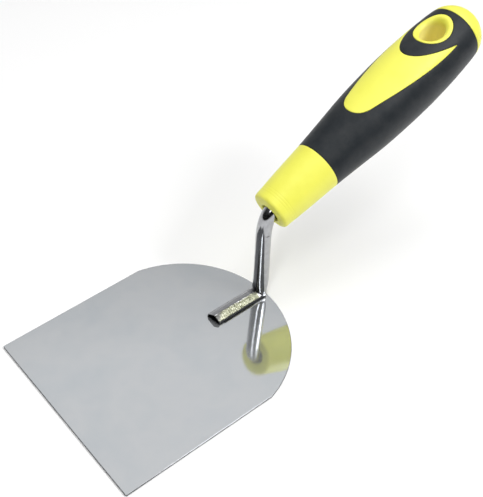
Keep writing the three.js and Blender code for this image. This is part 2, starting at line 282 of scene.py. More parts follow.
class Graph:
    """The nodes of a material or of the world, with short ways to add the kinds that are used here."""

    def __init__(self, owner, shader):
        owner.use_nodes = True
        self.owner = owner
        self.tree = owner.node_tree
        self.shader = self.tree.nodes[shader]

    def feed(self, inputs, values):
        """Link each input to a socket, or set it to a value that is the same everywhere."""
        for name, value in values.items():
            if isinstance(value, bpy.types.NodeSocket):
                self.tree.links.new(value, inputs[name])
            elif inputs[name].type == "RGBA":
                inputs[name].default_value = (*value, 1)
            else:
                inputs[name].default_value = value

    def finish(self, values):
        self.feed(self.shader.inputs, values)
        return self.owner

    def add(self, kind, values, result, **settings):
        node = self.tree.nodes.new(kind)
        for name, setting in settings.items():
            setattr(node, name, setting)
        self.feed(node.inputs, values)
        return node.outputs[result]

    def place(self, kind):
        return self.add("ShaderNodeTexCoord", {}, kind)

    def split(self, vector):
        node = self.tree.nodes.new("ShaderNodeSeparateXYZ")
        self.feed(node.inputs, {"Vector": vector})
        return [node.outputs[axis] for axis in "XYZ"]

    def noise(self, place, scale, detail=3.0, roughness=0.5, stretch=None):
        """Noise in the object's own space. Scale counts waves in a metre."""
        if stretch:
            place = self.add("ShaderNodeMapping", {"Scale": stretch, "Vector": place}, "Vector")
        values = {"Scale": scale, "Detail": detail, "Roughness": roughness, "Vector": place}
        return self.add("ShaderNodeTexNoise", values, "Fac")

    def ramp(self, field, *stops):
        """A colour ramp. Each stop is a place and a colour or a grey."""
        node = self.tree.nodes.new("ShaderNodeValToRGB")
        elements = node.color_ramp.elements
        while len(elements) < len(stops):
            elements.new(0.5)
        for element, (place, colour) in zip(elements, stops):
            element.position = place
            value = colour if isinstance(colour, tuple) else (colour,) * 3
            element.color = (*value, 1)
        self.feed(node.inputs, {"Fac": field})
        return node.outputs["Color"]

    def bump(self, field, distance, strength):
        values = {"Distance": distance, "Strength": strength, "Height": field}
        return self.add("ShaderNodeBump", values, "Normal")

    def mapped(self, value, low, high, start, end):
        """A value between two limits, spread over a range."""
        values = {"From Min": low, "From Max": high, "To Min": start, "To Max": end, "Value": value}
        return self.add("ShaderNodeMapRange", values, "Result")

    def calculated(self, kind, first, *others):
        """Numbers put together one after another by a sum, a product or a maximum."""
        for other in others:
            first = self.add("ShaderNodeMath", {0: first, 1: other}, "Value", operation=kind)
        return first

    def size(self, number):
        return self.add("ShaderNodeMath", {0: number}, "Value", operation="ABSOLUTE")

    def vector(self, kind, *vectors, result="Vector"):
        return self.add("ShaderNodeVectorMath", dict(enumerate(vectors)), result, operation=kind)

    def mixed(self, share, first, second):
        """A colour between two colours. Each is a socket or a plain colour."""
        values = {"Factor": share, MIX_FIRST: first, MIX_SECOND: second}
        return self.add("ShaderNodeMix", values, MIX_RESULT, data_type="RGBA")


def material_graph(name):
    return Graph(bpy.data.materials.new(name), "Principled BSDF")


def mirror_steel():
    """Polished stainless sheet: hazy reflections, faint clouds, hairline marks and dull sheared edges."""
    graph = material_graph("mirror_steel")
    place = graph.place("Object")
    clouds = graph.noise(place, 32, detail=4, roughness=0.6)
    face = graph.ramp(
        clouds,
        (0.3, (0.495, 0.525, 0.55)),
        (0.55, (0.54, 0.558, 0.575)),
        (0.75, (0.515, 0.54, 0.565)),
    )
    gloss = graph.ramp(clouds, (0.35, 0.05), (0.7, 0.09))
    upright = graph.split(graph.place("Normal"))[2]
    sheared = graph.mapped(graph.size(upright), 0.6, 0.9, 1, 0)
    hairlines = graph.noise(place, 900, detail=2, stretch=(1, 0.02, 1))
    return graph.finish(
        {
            "Metallic": 0.76,
            "Base Color": graph.mixed(sheared, face, (0.13, 0.135, 0.14)),
            "Roughness": graph.mixed(sheared, gloss, (0.35, 0.35, 0.35)),
            "Normal": graph.bump(hairlines, 0.000004, 0.5),
        }
    )


def tube_steel():
    """Drawn steel tube: polished, with drawing lines and duller spots, a struck facet with a painted warm
    reflection, a struck dash, and painted shade in the crease, the bore and along the blade.
    """
    graph = material_graph("tube_steel")
    place = graph.place("Object")
    x, y, z = graph.split(place)
    spots = graph.noise(place, 420, detail=5, roughness=0.65)
    polish = graph.ramp(
        spots,
        (0.32, (0.33, 0.33, 0.345)),
        (0.5, (0.41, 0.415, 0.43)),
        (0.7, (0.46, 0.465, 0.48)),
    )
    gloss = graph.ramp(spots, (0.3, 0.2), (0.7, 0.1))

    # The right half of the foot's roof is struck: dull and full of small dark pits, with a painted warm
    # reflection in its colour.
    wander = graph.noise(place, 380)
    ragged = graph.calculated("ADD", x, graph.mapped(wander, 0.3, 0.7, -0.4 * MM, 0.4 * MM))
    eave = BLADE_TOP + FOOT_EAVE * MM
    crease_top = CREASE[1] * MM
    struck = graph.calculated(
        "MULTIPLY",
        graph.mapped(ragged, FOOT_RIDGE_X * MM, (FOOT_RIDGE_X + 0.25) * MM, 0, 1),
        graph.mapped(z, eave - 0.3 * MM, eave - 0.05 * MM, 0, 1),
        graph.mapped(z, crease_top + 0.4 * MM, crease_top + 0.8 * MM, 1, 0),
        graph.mapped(y, FRONT + (STRUCK_END - 0.5) * MM, FRONT + STRUCK_END * MM, 1, 0),
    )
    pits = graph.noise(place, 1500, roughness=0.7)
    # Dark pits on a pale warm ground: the pits are real, the warm tone is a painted reflection.
    pits_and_painted_reflection = graph.ramp(
        pits,
        (0.38, (0.04, 0.042, 0.02)),
        (0.48, (0.22, 0.225, 0.155)),
        (0.6, (0.38, 0.388, 0.31)),
    )
    rubbed = graph.ramp(pits, (0.35, (0.04, 0.04, 0.038)), (0.6, (0.14, 0.14, 0.135)))
    near_mouth = graph.mapped(
        graph.calculated("ADD", y, ragged), FRONT + RUBBED_END * MM, FRONT + PITTED_START * MM, 1, 0
    )
    struck_colour_and_reflection = graph.mixed(near_mouth, pits_and_painted_reflection, rubbed)

    # Painted shade darkens the bore behind the mouth, and a painted contact shadow darkens the foot's lower
    # sides near the blade.
    aside = graph.size(x)
    fall = (FOOT_RIDGE - FOOT_EAVE) / FOOT_EAVE_HALF_WIDTH
    ridge = BLADE_TOP + FOOT_RIDGE * MM
    in_bore = graph.calculated(
        "MULTIPLY",
        graph.mapped(
            graph.calculated("ADD", z, graph.mapped(aside, 0, 10 * MM, 0, 10 * MM * fall)),
            ridge - 0.32 * MM,
            ridge - 0.15 * MM,
            1,
            0,
        ),
        graph.mapped(aside, 3.7 * MM, 3.95 * MM, 1, 0),
        graph.mapped(y, FRONT + BORE_SHADE_END * MM, FRONT + (BORE_SHADE_END + 1) * MM, 1, 0),
    )
    # Painted contact shadow along the foot's base on the blade.
    painted_base_shade = graph.mapped(z, BLADE_TOP + 1.0 * MM, BLADE_TOP + 1.7 * MM, 0.85, 0)

    # Painted shade darkens the crease between the foot and the leg.
    crease_shade_middle = on_blade(-1.4, CREASE[0] + 0.3, CREASE[1] + 1.0)
    reach = graph.vector("DISTANCE", place, crease_shade_middle, result="Value")
    edge = graph.calculated("ADD", reach, graph.mapped(wander, 0.3, 0.7, -0.6 * MM, 0.6 * MM))
    painted_crease_shade = graph.mapped(edge, 2.2 * MM, 4.4 * MM, 0.93, 0)

    # A small dash is struck across the right side of the leg, under its bend.
    offset = graph.vector("SUBTRACT", place, dash_place())
    squashed = graph.vector("MULTIPLY", offset, DASH_SQUASH)
    dash = graph.mapped(graph.vector("LENGTH", squashed, result="Value"), 0.75, 1.2, 0.75, 0)

    # The dash's stain is real; the crease, bore and base darkening mixed in here is painted shade.
    dash_and_painted_shade = graph.calculated("MAXIMUM", painted_crease_shade, dash, in_bore, painted_base_shade)
    dullness = graph.calculated("MAXIMUM", struck, dash_and_painted_shade)
    finish = graph.mixed(struck, polish, struck_colour_and_reflection)
    grain = graph.noise(place, 2600, stretch=(1, 0.35, 0.12))
    return graph.finish(
        {
            "Metallic": 1,
            "Base Color": graph.mixed(dash_and_painted_shade, finish, (0.03, 0.031, 0.036)),
            "Roughness": graph.mixed(dullness, gloss, (0.34, 0.34, 0.34)),
            "Normal": graph.bump(grain, 0.00001, 0.5),
        }
    )


def weld_steel_painted_shade():
    """Dull weld metal laid in ripples with small pits; its very dark colour is partly the weld's own tone
    and partly a painted contact shadow along the foot's base.
    """
    graph = material_graph("weld_steel_painted_shade")
    place = graph.place("Object")
    tint = graph.noise(place, 900, detail=4, roughness=0.6)
    # Very dark: partly the weld's own tone, partly painted shade along the foot's base.
    colour = graph.ramp(
        tint,
        (0.3, (0.02, 0.02, 0.02)),
        (0.55, (0.045, 0.045, 0.043)),
        (0.75, (0.10, 0.098, 0.092)),
    )
    return graph.finish(
        {
            "Metallic": 1,
            "Base Color": colour,
            "Roughness": graph.ramp(tint, (0.3, 0.55), (0.7, 0.33)),
            "Normal": graph.bump(graph.noise(place, 5000), 0.00004, 0.8),
        }
    )


def yellow_plastic():
    """Lemon yellow moulding with a fine eggshell surface and slightly uneven pigment."""
    graph = material_graph("yellow_plastic")
    place = graph.place("Object")
    pigment = graph.noise(place, 85, detail=5, roughness=0.6)
    skin = graph.ramp(
        pigment,
        (0.3, (0.90, 0.88, 0.105)),
        (0.55, (0.94, 0.925, 0.128)),
        (0.75, (0.96, 0.92, 0.12)),
    )
    # The walls of the hanging hole are painted paler and warmer than the skin, as painted light inside the
    # hole.
    reach = graph.vector("DISTANCE", place, on_handle(0, HOLE_CENTRE, 2), result="Value")
    walls = graph.mapped(reach, 11.5 * MM, 14.5 * MM, 1, 0)
    flow = graph.noise(place, 700)
    return graph.finish(
        {
            "Base Color": graph.mixed(walls, skin, (0.97, 0.885, 0.34)),
            "Roughness": graph.ramp(flow, (0.3, 0.33), (0.7, 0.45)),
            "Normal": graph.bump(graph.noise(place, 3800, detail=2), 0.00002, 0.35),
            "Specular IOR Level": 0.45,
        }
    )


def dark_elastomer():
    """Soft dark blue-grey rubber: matte, with a fine spark-eroded grain and faint scuffs."""
    graph = material_graph("dark_elastomer")
    place = graph.place("Object")
    scuffs = graph.noise(place, 130, detail=5, roughness=0.65)
    colour = graph.ramp(
        scuffs,
        (0.32, (0.013, 0.017, 0.021)),
        (0.5, (0.020, 0.024, 0.028)),
        (0.7, (0.029, 0.032, 0.035)),
    )
    grain = graph.noise(place, 5200, detail=2, roughness=0.6)
    return graph.finish(
        {
            "Base Color": colour,
            "Roughness": graph.ramp(grain, (0.3, 0.5), (0.7, 0.38)),
            "Normal": graph.bump(grain, 0.00003, 0.45),
            "Specular IOR Level": 0.27,
        }
    )


# ---------- Blade ----------


def rounded_corner(corner, before, after, radius, steps):
    """Points of an arc that rounds a corner of a plan outline."""
    corner, before, after = (Vector(p) for p in (corner, before, after))
    back = (before - corner).normalized()
    ahead = (after - corner).normalized()
    half = back.angle(ahead) / 2
    centre = corner + (back + ahead).normalized() * (radius / math.sin(half))
    first = corner + back * (radius / math.tan(half)) - centre
    last = corner + ahead * (radius / math.tan(half)) - centre
    turn = first.angle_signed(last)
    return [centre + Matrix.Rotation(-turn * i / steps, 2) @ first for i in range(steps + 1)]


def blade_outline(arc_steps=220):
    """The blade seen from above, anticlockwise, in millimetres from the middle of its front edge."""
    shoulder = math.asin((BLADE_SIDE_LENGTH - BLADE_BACK_CENTRE) / BLADE_BACK_RADIUS)
    arc = []
    for i in range(arc_steps + 1):
        angle = lerp(shoulder, math.pi - shoulder, i / arc_steps)
        back = BLADE_BACK_CENTRE + BLADE_BACK_RADIUS * math.sin(angle)
        arc.append(Vector((BLADE_BACK_RADIUS * math.cos(angle), back)))
    left = Vector((-BLADE_HALF_FRONT, 0))
    right = Vector((BLADE_HALF_FRONT, 0))
    left_corner = rounded_corner(left, arc[-1], right, BLADE_CORNER_RADIUS, 6)
    right_corner = rounded_corner(right, left, arc[0], BLADE_CORNER_RADIUS, 6)
    return left_corner + right_corner + arc


def inset(outline, distance):
    """An outline moved inwards by a distance."""
    moved = []
    for i, point in enumerate(outline):
        before = (point - outline[i - 1]).normalized()
        after = (outline[(i + 1) % len(outline)] - point).normalized()
        normal = Vector((-before.y - after.y, before.x + after.x)).normalized()
        moved.append(point + normal * (distance / max(0.3, normal.dot(Vector((-before.y, before.x))))))
    return moved


def build_blade(material):
    outline = blade_outline()
    count = len(outline)
    quarter = 5
    rings = []
    for i in range(quarter + 1):
        angle = math.pi / 2 * i / quarter
        rings.append((BLADE_EDGE_RADIUS * (1 - math.sin(angle)), BLADE_EDGE_RADIUS * (1 - math.cos(angle))))
    levels = rings + [(depth, BLADE_THICKNESS - height) for depth, height in reversed(rings)]
    rows = [[on_blade(p.x, p.y, height) for p in inset(outline, depth)] for depth, height in levels]
    points = [p for row in rows for p in row]
    faces = [tuple(reversed(range(count))), *row_faces(0, rows)]
    faces.append(tuple(range(len(points) - count, len(points))))
    piece = make_piece("blade_sheet", points, faces, material, "blade")
    for polygon in piece.data.polygons:
        if len(polygon.vertices) > 4:
            polygon.use_smooth = False


# ---------- Gooseneck ----------
# The tube is a loft over rings of points square to it. A heading is the tube's direction in the middle
# plane, counted up from +Y. Each ring starts on the +X side and first turns over the tube's upper side.

TUBE_SIDES = 128
TURNS = [2 * math.pi * i / TUBE_SIDES for i in range(TUBE_SIDES)]


def ahead(heading):
    return np.array([math.cos(heading), math.sin(heading)])


def below(heading):
    return np.array([math.sin(heading), -math.cos(heading)])


leg_base = np.array(CREASE) + below(LEG_HEADING) * (TUBE_RADIUS + CREASE_GAP)
neck_corner = leg_base + ahead(LEG_HEADING) * LEG_LENGTH
nose_place = np.array([(nose_point.y - FRONT) / MM, nose_point.z / MM])


def ring_at(place, heading, half_width, half_height, dent=None):
    """A ring round a place in the middle plane."""
    row = []
    for turn in TURNS:
        sink = dent(turn) if dent else 0
        y, z = place - below(heading) * (half_height - sink) * math.sin(turn)
        row.append(on_blade((half_width - sink) * math.cos(turn), y, z))
    return row


def squeeze(height):
    """How strongly the bend at the heel still deforms the leg at a height over the crease, from 1 to 0."""
    return max(0, 1 - max(0, height) / HEEL_HEIGHT) ** 2


def leg_ring(height, radius):
    """A ring of the leg. Near the heel its back is drawn in and its sides bulge."""
    share = height / (LEG_LENGTH - NECK_BEND_BEFORE)
    place = leg_base + ahead(LEG_HEADING) * height
    narrow = lerp(0, TUBE_RADIUS - NECK_RADIUS, share)
    mark = dash_mark(place[1])
    row = []
    for turn in TURNS:
        drawn_in = HEEL_TUCK * squeeze(height) * (1 - math.sin(turn)) / 2
        sink = narrow + mark(turn)
        y, z = place - below(LEG_HEADING) * ((radius - sink) * math.sin(turn) + drawn_in)
        row.append(on_blade((radius + HEEL_BULGE * squeeze(height) - sink) * math.cos(turn), y, z))
    return row


def foot_section(turn, inset):
    """Across and up from the blade's underside: the tube pressed to a low roof with leaning sides."""
    across, up = math.cos(turn), math.sin(turn)
    eave = FOOT_EAVE - EAVE_WALL_SHARE * inset
    ridge = FOOT_RIDGE - RIDGE_WALL_SHARE * inset
    way = 1 if across > 0 else -1
    base = way * (FOOT_HALF_WIDTH - inset)
    side = way * (FOOT_EAVE_HALF_WIDTH - inset)
    if up > 0:
        x = lerp(FOOT_RIDGE_X, side, abs(across) ** (2 / FOOT_ROOF_POWER))
        z = lerp(eave, ridge, up ** (2 / FOOT_ROOF_POWER))
    else:
        fall = min(1, -up / math.sin(FOOT_CORNER_TURN))
        x = lerp(side, base, fall) if fall < 1 else base * abs(across) / math.cos(FOOT_CORNER_TURN)
        z = lerp(eave, inset, fall)
    return x, BLADE_THICKNESS + z


def foot_texture(x, y, up):
    """How far the pressed foot stands out at a place: a struck, stippled facet on its right half."""
    ridge = FOOT_RIDGE_X + 0.3 * noise.noise(Vector((y * 0.3, 3.1, 0)))
    face = smoothstep(x, ridge, ridge + 0.35) * smoothstep(up, 0.02, 0.12)
    stippled = smoothstep(y, *STIPPLE_START) * (1 - smoothstep(y, *STIPPLE_END))
    coarse = noise.noise(Vector((x * 1.3, y * 1.3, 7.7)))
    fine = noise.noise(Vector((x * 2.9, y * 2.9, 1.3)))
    dull = noise.noise(Vector((x * 0.8, y * 0.8, 4.4)))
    return face * (stippled * (0.10 * coarse + 0.06 * fine) + 0.05 * (1 - stippled) * dull)


def foot_row(y, inset):
    row = []
    for turn in TURNS:
        x, z = foot_section(turn, inset)
        up = math.sin(turn)
        lift = foot_texture(x, y, up) if inset == 0 and up > 0 else 0
        skew = FOOT_SKEW * x * (1 - smoothstep(y, FOOT_FRONT, FOOT_FRONT + FOOT_TAPER))
        row.append(on_blade(x + 0.5 * lift, y + skew, z + 0.85 * lift))
    return row


def heel_row(share, inset):
    """A ring of the heel. The rings fan round the crease, from the foot's section to the leg's circle."""
    heading = share * LEG_HEADING
    radius = TUBE_RADIUS - inset
    quarter = share * math.pi / 2
    row = []
    for turn in TURNS:
        x, z = foot_section(turn, inset)
        up = math.sin(turn)
        foot_gap = CREASE[1] - z
        leg_gap = TUBE_RADIUS + CREASE_GAP - radius * up - HEEL_TUCK * (1 - up) / 2
        to_foot = (math.cos(quarter) / foot_gap) ** CREASE_POWER
        to_leg = (math.sin(quarter) / leg_gap) ** CREASE_POWER
        gap = (to_foot + to_leg) ** (-1 / CREASE_POWER)
        y, height = np.array(CREASE) + below(heading) * gap
        round_share = smoothstep(share, HEEL_ROUND_FROM, 1)
        row.append(on_blade(lerp(x, (radius + HEEL_BULGE) * math.cos(turn), round_share), y, height))
    return row


def dash_place():
    """The middle of the dash on the leg's surface."""
    y, _ = leg_base + ahead(LEG_HEADING) * (DASH_HEIGHT - leg_base[1])
    return on_blade(NECK_RADIUS * math.cos(DASH_TURN), y - NECK_RADIUS * math.sin(DASH_TURN), DASH_HEIGHT)


def dash_mark(height):
    """A shallow dash struck across the leg's right side, at a height over the blade's underside."""
    depth = DASH_DEPTH * math.exp(-(((height - DASH_HEIGHT) / DASH_HALF_THICKNESS) ** 2))

    def dent(turn):
        return depth * math.exp(-(((turn - DASH_TURN) / DASH_HALF_TURN) ** 4))

    return dent


def leg_rows(radius, spacing):
    straight = LEG_LENGTH - NECK_BEND_BEFORE
    steps = round(straight / spacing)
    rows = [leg_ring(straight * i / steps, radius) for i in range(1, steps)]
    start = -ahead(LEG_HEADING) * NECK_BEND_BEFORE
    end = ahead(HANDLE_TILT) * NECK_BEND_AFTER
    bent = radius - TUBE_RADIUS + NECK_RADIUS
    for t in np.linspace(0, 1, 61):
        place = neck_corner + (1 - t) ** 2 * start + t**2 * end
        y, z = t * end - (1 - t) * start
        rows.append(ring_at(place, math.atan2(z, y), bent, bent, dash_mark(place[1])))
    return rows


def tang_row(length, margin):
    flat = smoothstep(length, TANG_ROUND_TO, TANG_FLAT_FROM)
    place = nose_place + ahead(HANDLE_TILT) * length
    half_width = lerp(NECK_RADIUS, TANG_TIP_HALF_WIDTH, flat) + margin
    half_height = lerp(NECK_RADIUS, TANG_TIP_HALF_THICKNESS, flat) + margin
    return ring_at(place, HANDLE_TILT, half_width, half_height)


def build_gooseneck(material):
    flattening = np.linspace(TANG_ROUND_TO, TANG_FLAT_FROM, 13)
    outer = [foot_row(y, 0) for y in np.arange(FOOT_FRONT, CREASE[0], 0.22)]
    outer += [heel_row(share, 0) for share in np.linspace(0, 1, 61)]
    outer += leg_rows(TUBE_RADIUS, 0.25)
    outer += [tang_row(length, 0) for length in (20, 40, 60, *flattening, TANG_LENGTH)]
    # Filing at the mouth has thinned the wall.
    inner = []
    for y in np.arange(FOOT_FRONT, CREASE[0], 2.0):
        thick = smoothstep(y, FOOT_FRONT, FOOT_FRONT + FOOT_TAPER)
        inner.append(foot_row(y, lerp(MOUTH_WALL, TUBE_WALL, thick)))
    inner += [heel_row(share, TUBE_WALL) for share in np.linspace(0, 1, 25)]
    inner += leg_rows(TUBE_RADIUS - TUBE_WALL, 6.0)
    inner.append(tang_row(TANG_BORE_LENGTH, -TUBE_WALL))
    # The cut end of the tube has a small rounded lip.
    lip = TUBE_LIP * MM
    rim = []
    for share, back in ((0.15, 0.3), (0.35, 0.0), (0.65, 0.0), (0.85, 0.3)):
        rim.append([a.lerp(b, share) + Vector((0, back * lip, 0)) for a, b in zip(outer[0], inner[0])])
    for row in (outer[0], inner[0]):
        for point in row:
            point.y += lip
    rows = [*reversed(outer), *rim, *inner]
    points = [p for row in rows for p in row]
    faces = [tuple(range(TUBE_SIDES)), tuple(range(len(points) - TUBE_SIDES, len(points)))]
    faces += row_faces(0, rows)
    make_piece("neck_tube", points, faces, material, "gooseneck", sharp_angle=40)


# ---------- Weld seams ----------


def build_seam(name, side, material):
    """A fillet weld between the foot's edge and the blade, laid as overlapping ripples."""
    steps = 150
    arc = 12
    rows = []
    for i in range(steps + 1):
        y = SEAM_FRONT + SEAM_LENGTH * i / steps
        phase = (y / SEAM_RIPPLE + 0.25 * noise.noise(Vector((y * 0.7, side, 0)))) % 1
        ripple = math.sqrt(max(0, 1 - (2 * phase - 1) ** 2))
        ends = smoothstep(min(y - SEAM_FRONT, SEAM_FRONT + SEAM_LENGTH - y), 0, 0.8)
        size = lerp(0.3, 1, ends) * (0.82 + 0.18 * ripple)
        row = [on_blade(side * (FOOT_HALF_WIDTH - SEAM_SINK), y, BLADE_THICKNESS + SEAM_LIFT)]
        for j in range(arc + 1):
            angle = math.pi / 2 * j / arc
            reach = SEAM_WIDTH * size * math.cos(angle)
            rise = SEAM_HEIGHT * size * math.sin(angle)
            across = side * (FOOT_HALF_WIDTH + reach - SEAM_SINK)
            row.append(on_blade(across, y, BLADE_THICKNESS + SEAM_LIFT + rise))
        rows.append(row)
    count = len(rows[0])
    points = [p for row in rows for p in row]
    faces = [tuple(range(count)), tuple(range(len(points) - count, len(points))), *row_faces(0, rows)]
    node = "weld_seam_right" if side > 0 else "weld_seam_left"
    make_piece(name, points, faces, material, node)


# ---------- Handle ----------
# The handle's surface is unrolled onto a plane: `a` runs round it, in radians times UNROLL, counted from
# the top towards +X, and `s` runs along it. The unrolled sheet is cut along the handle's right side.

UNROLL = 16.0
ROUND_STEPS = 96
CUT = UNROLL * math.pi / 2
ROW_STEP = UNROLL * 2 * math.pi / ROUND_STEPS

grip_curve = through(
    [
        (10.5, 1.1),
        (11.8, 16),
        (13.0, 32),
        (14.6, 48),
        (16.25, 64),
        (17.1, 80),
        (17.4, 96),
        (16.9, 112),
        (15.8, 126),
        (15.0, BUTT_START),
    ],
    12,
)
butt_curve = bezier((15.0, BUTT_START), (14.2, 137), (8.5, HANDLE_LENGTH), (0, HANDLE_LENGTH), 28)
outline_curve = np.vstack([grip_curve, butt_curve[1:], [(0, HANDLE_LENGTH)]])


def radius_at(s):
    return np.interp(s, outline_curve[:, 1], outline_curve[:, 0])


def unrolled(x, s, under=False):
    """A plan point of the handle's top, or of its underside, on the unrolled sheet."""
    angle = math.asin(x / radius_at(s))
    return (UNROLL * (-math.pi - angle if under else angle), s)


def spaced(loop, gap):
    """A closed loop walked at even gaps."""
    closed = np.vstack([loop, loop[:1]])
    steps = np.hypot(*np.diff(closed, axis=0).T)
    along = np.concatenate([[0], np.cumsum(steps)])
    count = max(12, round(along[-1] / gap))
    places = np.linspace(0, along[-1], count, endpoint=False)
    return np.stack([np.interp(places, along, closed[:, i]) for i in (0, 1)], 1)


def window_half():
    """The right half of the window's outline from the front tip to the rear middle, in plan."""
    front = bezier((0, WINDOW_FRONT), (4.5, WINDOW_FRONT), (6.8, 61), WINDOW_SHOULDER, 24)
    side = bezier(WINDOW_SHOULDER, (10.9, 79), (14.9, 99.5), WINDOW_HORN, 80)
    rear = bezier(WINDOW_HORN, (11, 107), (6.5, WINDOW_REAR), (0, WINDOW_REAR), 48)
    return np.vstack([front, side]), rear


def window_loop():
    """The window on the unrolled sheet. Its two horns stay sharp."""
    outer, rear = window_half()
    right = [unrolled(*p) for p in outer]
    back = [unrolled(*p) for p in rear]
    left = [(-a, s) for a, s in reversed(right[1:])]
    back_left = [(-a, s) for a, s in reversed(back)]
    middle = unrolled(0, WINDOW_REAR)
    return np.array(right + back + [middle] + back_left + left)


def ellipse_loop(centre, half_width, half_length, under=False, count=96):
    """An oval round the hanging hole on the unrolled sheet."""
    turns = np.linspace(0, 2 * math.pi, count, endpoint=False)
    if under:
        turns = turns[::-1]
    return np.array(
        [unrolled(half_width * math.cos(t), centre + half_length * math.sin(t), under) for t in turns]
    )


def grown(loop, distance):
    """A loop moved outwards, with a fan of points round its sharp horns."""
    ahead = np.roll(loop, -1, 0) - loop
    ahead /= np.hypot(*ahead.T)[:, None]
    before = np.roll(ahead, 1, 0)
    area = np.sum(loop[:, 0] * np.roll(loop[:, 1], -1) - np.roll(loop[:, 0], -1) * loop[:, 1])
    way = 1 if area > 0 else -1
    moved = []
    for point, b, a in zip(loop, before, ahead):
        first = math.atan2(-way * b[0], way * b[1])
        last = math.atan2(-way * a[0], way * a[1])
        turn = (last - first + math.pi) % (2 * math.pi) - math.pi
        fan = 1 if abs(turn) < 0.5 else 9
        for i in range(fan):
            angle = first + turn * ((i + 0.5) / fan)
            moved.append(point + distance * np.array([math.cos(angle), math.sin(angle)]))
    moved = np.array(moved)
    kept = distance_to(moved, loop) > 0.985 * abs(distance)
    return moved[kept]


def distance_to(points, loop):
    """The distance of each point to a closed loop."""
    best = np.full(len(points), 1e9)
    for start, end in zip(loop, np.roll(loop, -1, 0)):
        side = end - start
        t = np.clip(((points - start) @ side) / (side @ side), 0, 1)
        gap = points - start - t[:, None] * side
        best = np.minimum(best, np.hypot(gap[:, 0], gap[:, 1]))
    return best


def inside(points, loop):
    """Which points lie inside a closed loop."""
    result = np.zeros(len(points), bool)
    for (x0, y0), (x1, y1) in zip(loop, np.roll(loop, -1, 0)):
        if y0 == y1:
            continue
        crossing = (y0 > points[:, 1]) != (y1 > points[:, 1])
        at = x0 + (points[:, 1] - y0) / (y1 - y0) * (x1 - x0)
        result ^= crossing & (points[:, 0] < at)
    return result


window = spaced(window_loop(), 0.8)
eyelet_top = ellipse_loop(EYELET_CENTRE, EYELET_HALF_WIDTH, EYELET_HALF_LENGTH)
eyelet_under = ellipse_loop(EYELET_CENTRE, EYELET_HALF_WIDTH, EYELET_HALF_LENGTH, under=True)
LANDS = [window, eyelet_top, eyelet_under]
LIP_HALF_WIDTH = HOLE_HALF_WIDTH + HOLE_LIP_RADIUS
LIP_HALF_LENGTH = HOLE_HALF_LENGTH + HOLE_LIP_RADIUS
lip_top = ellipse_loop(HOLE_CENTRE, LIP_HALF_WIDTH, LIP_HALF_LENGTH)
lip_under = ellipse_loop(HOLE_CENTRE, LIP_HALF_WIDTH, LIP_HALF_LENGTH, under=True)


def circle_row(s):
    """A row of sheet points round the handle at one length, from cut to cut."""
    return [(CUT - 2 * math.pi * UNROLL * i / ROUND_STEPS, s) for i in range(ROUND_STEPS + 1)]


def on_skin(a, s, depth):
    """A point of the unrolled sheet, back on the handle, some depth under its surface."""
    angle = a / UNROLL
    radius = radius_at(s) - depth
    return on_handle(radius * math.sin(angle), s, radius * math.cos(angle))


def rounding(distance, radius):
    """How far an edge of a given radius falls away at a distance from it."""
    left = np.clip(radius - distance, 0, radius)
    return radius - np.sqrt(radius**2 - left**2)


class Sheet:
    """Points on the unrolled sheet with a depth each, and the loops that its triangles must keep."""

    def __init__(self):
        self.places = []
        self.depths = []
        self.edges = []

    def add(self, places, depth, kept=False, closed=True):
        first = len(self.places)
        depths = np.broadcast_to(depth, (len(places),))
        self.places += [tuple(p) for p in places]
        self.depths += [float(d) for d in depths]
        if kept:
            last = len(places) if closed else len(places) - 1
            self.edges += [(first + i, first + (i + 1) % len(places)) for i in range(last)]

    def triangles(self):
        places, _, faces, sources, _, _ = delaunay_2d_cdt(
            [Vector(p) for p in self.places], self.edges, [], 0, 1e-7
        )
        depths = [self.depths[source[0]] if source else 0.0 for source in sources]
        return np.array([tuple(p) for p in places]), np.array(depths), faces


def lattice(low, high):
    """A regular triangle lattice on the sheet between two lengths, without its border."""
    rows = round((high - low) / (ROW_STEP * math.sqrt(3) / 2))
    points = []
    for row in range(1, rows):
        s = lerp(low, high, row / rows)
        shift = 0.5 if row % 2 else 0
        points += [(CUT, s), (CUT - 2 * math.pi * UNROLL, s)]
        for i in range(ROUND_STEPS):
            share = (i + shift) / ROUND_STEPS
            if 0 < share < 1:
                points.append((CUT - 2 * math.pi * UNROLL * share, s))
    return np.array(points)


def gap_to_lands(points, lands, start, end):
    """The distance of each point to the nearest edge of the grip."""
    gaps = [distance_to(points, land) for land in lands]
    gaps += [np.abs(points[:, 1] - start), np.abs(points[:, 1] - end)]
    return np.min(gaps, axis=0)


def grip_skin():
    """The sheet of the grip: everything between its two ends except the window and the eyelets."""
    start = GRIP_START + VISIBLE_GAP
    end = GRIP_END - VISIBLE_GAP
    sheet = Sheet()
    borders = [grown(land, VISIBLE_GAP) for land in LANDS]
    for row in (start, end):
        sheet.add(circle_row(row), EDGE_ROUNDING, kept=True, closed=False)
    for border in borders:
        sheet.add(border, EDGE_ROUNDING, kept=True)
    for step in ROUNDING_STEPS:
        depth = rounding(step, EDGE_ROUNDING)
        sheet.add(circle_row(start + step), depth)
        sheet.add(circle_row(end - step), depth)
        for border in borders:
            ring = grown(border, step)
            sheet.add(ring[gap_to_lands(ring, borders, start, end) > 0.985 * step], depth)
    points = lattice(start, end)
    outside = ~np.any([inside(points, border) for border in borders], axis=0)
    points = points[outside]
    points = points[gap_to_lands(points, borders, start, end) > EDGE_ROUNDING + 0.3]
    sheet.add(points, 0)
    places, depths, faces = sheet.triangles()
    centres = np.array([np.mean(places[list(f)], axis=0) for f in faces])
    kept = ~np.any([inside(centres, border) for border in borders], axis=0)
    return places, depths, [f for f, k in zip(faces, kept) if k]


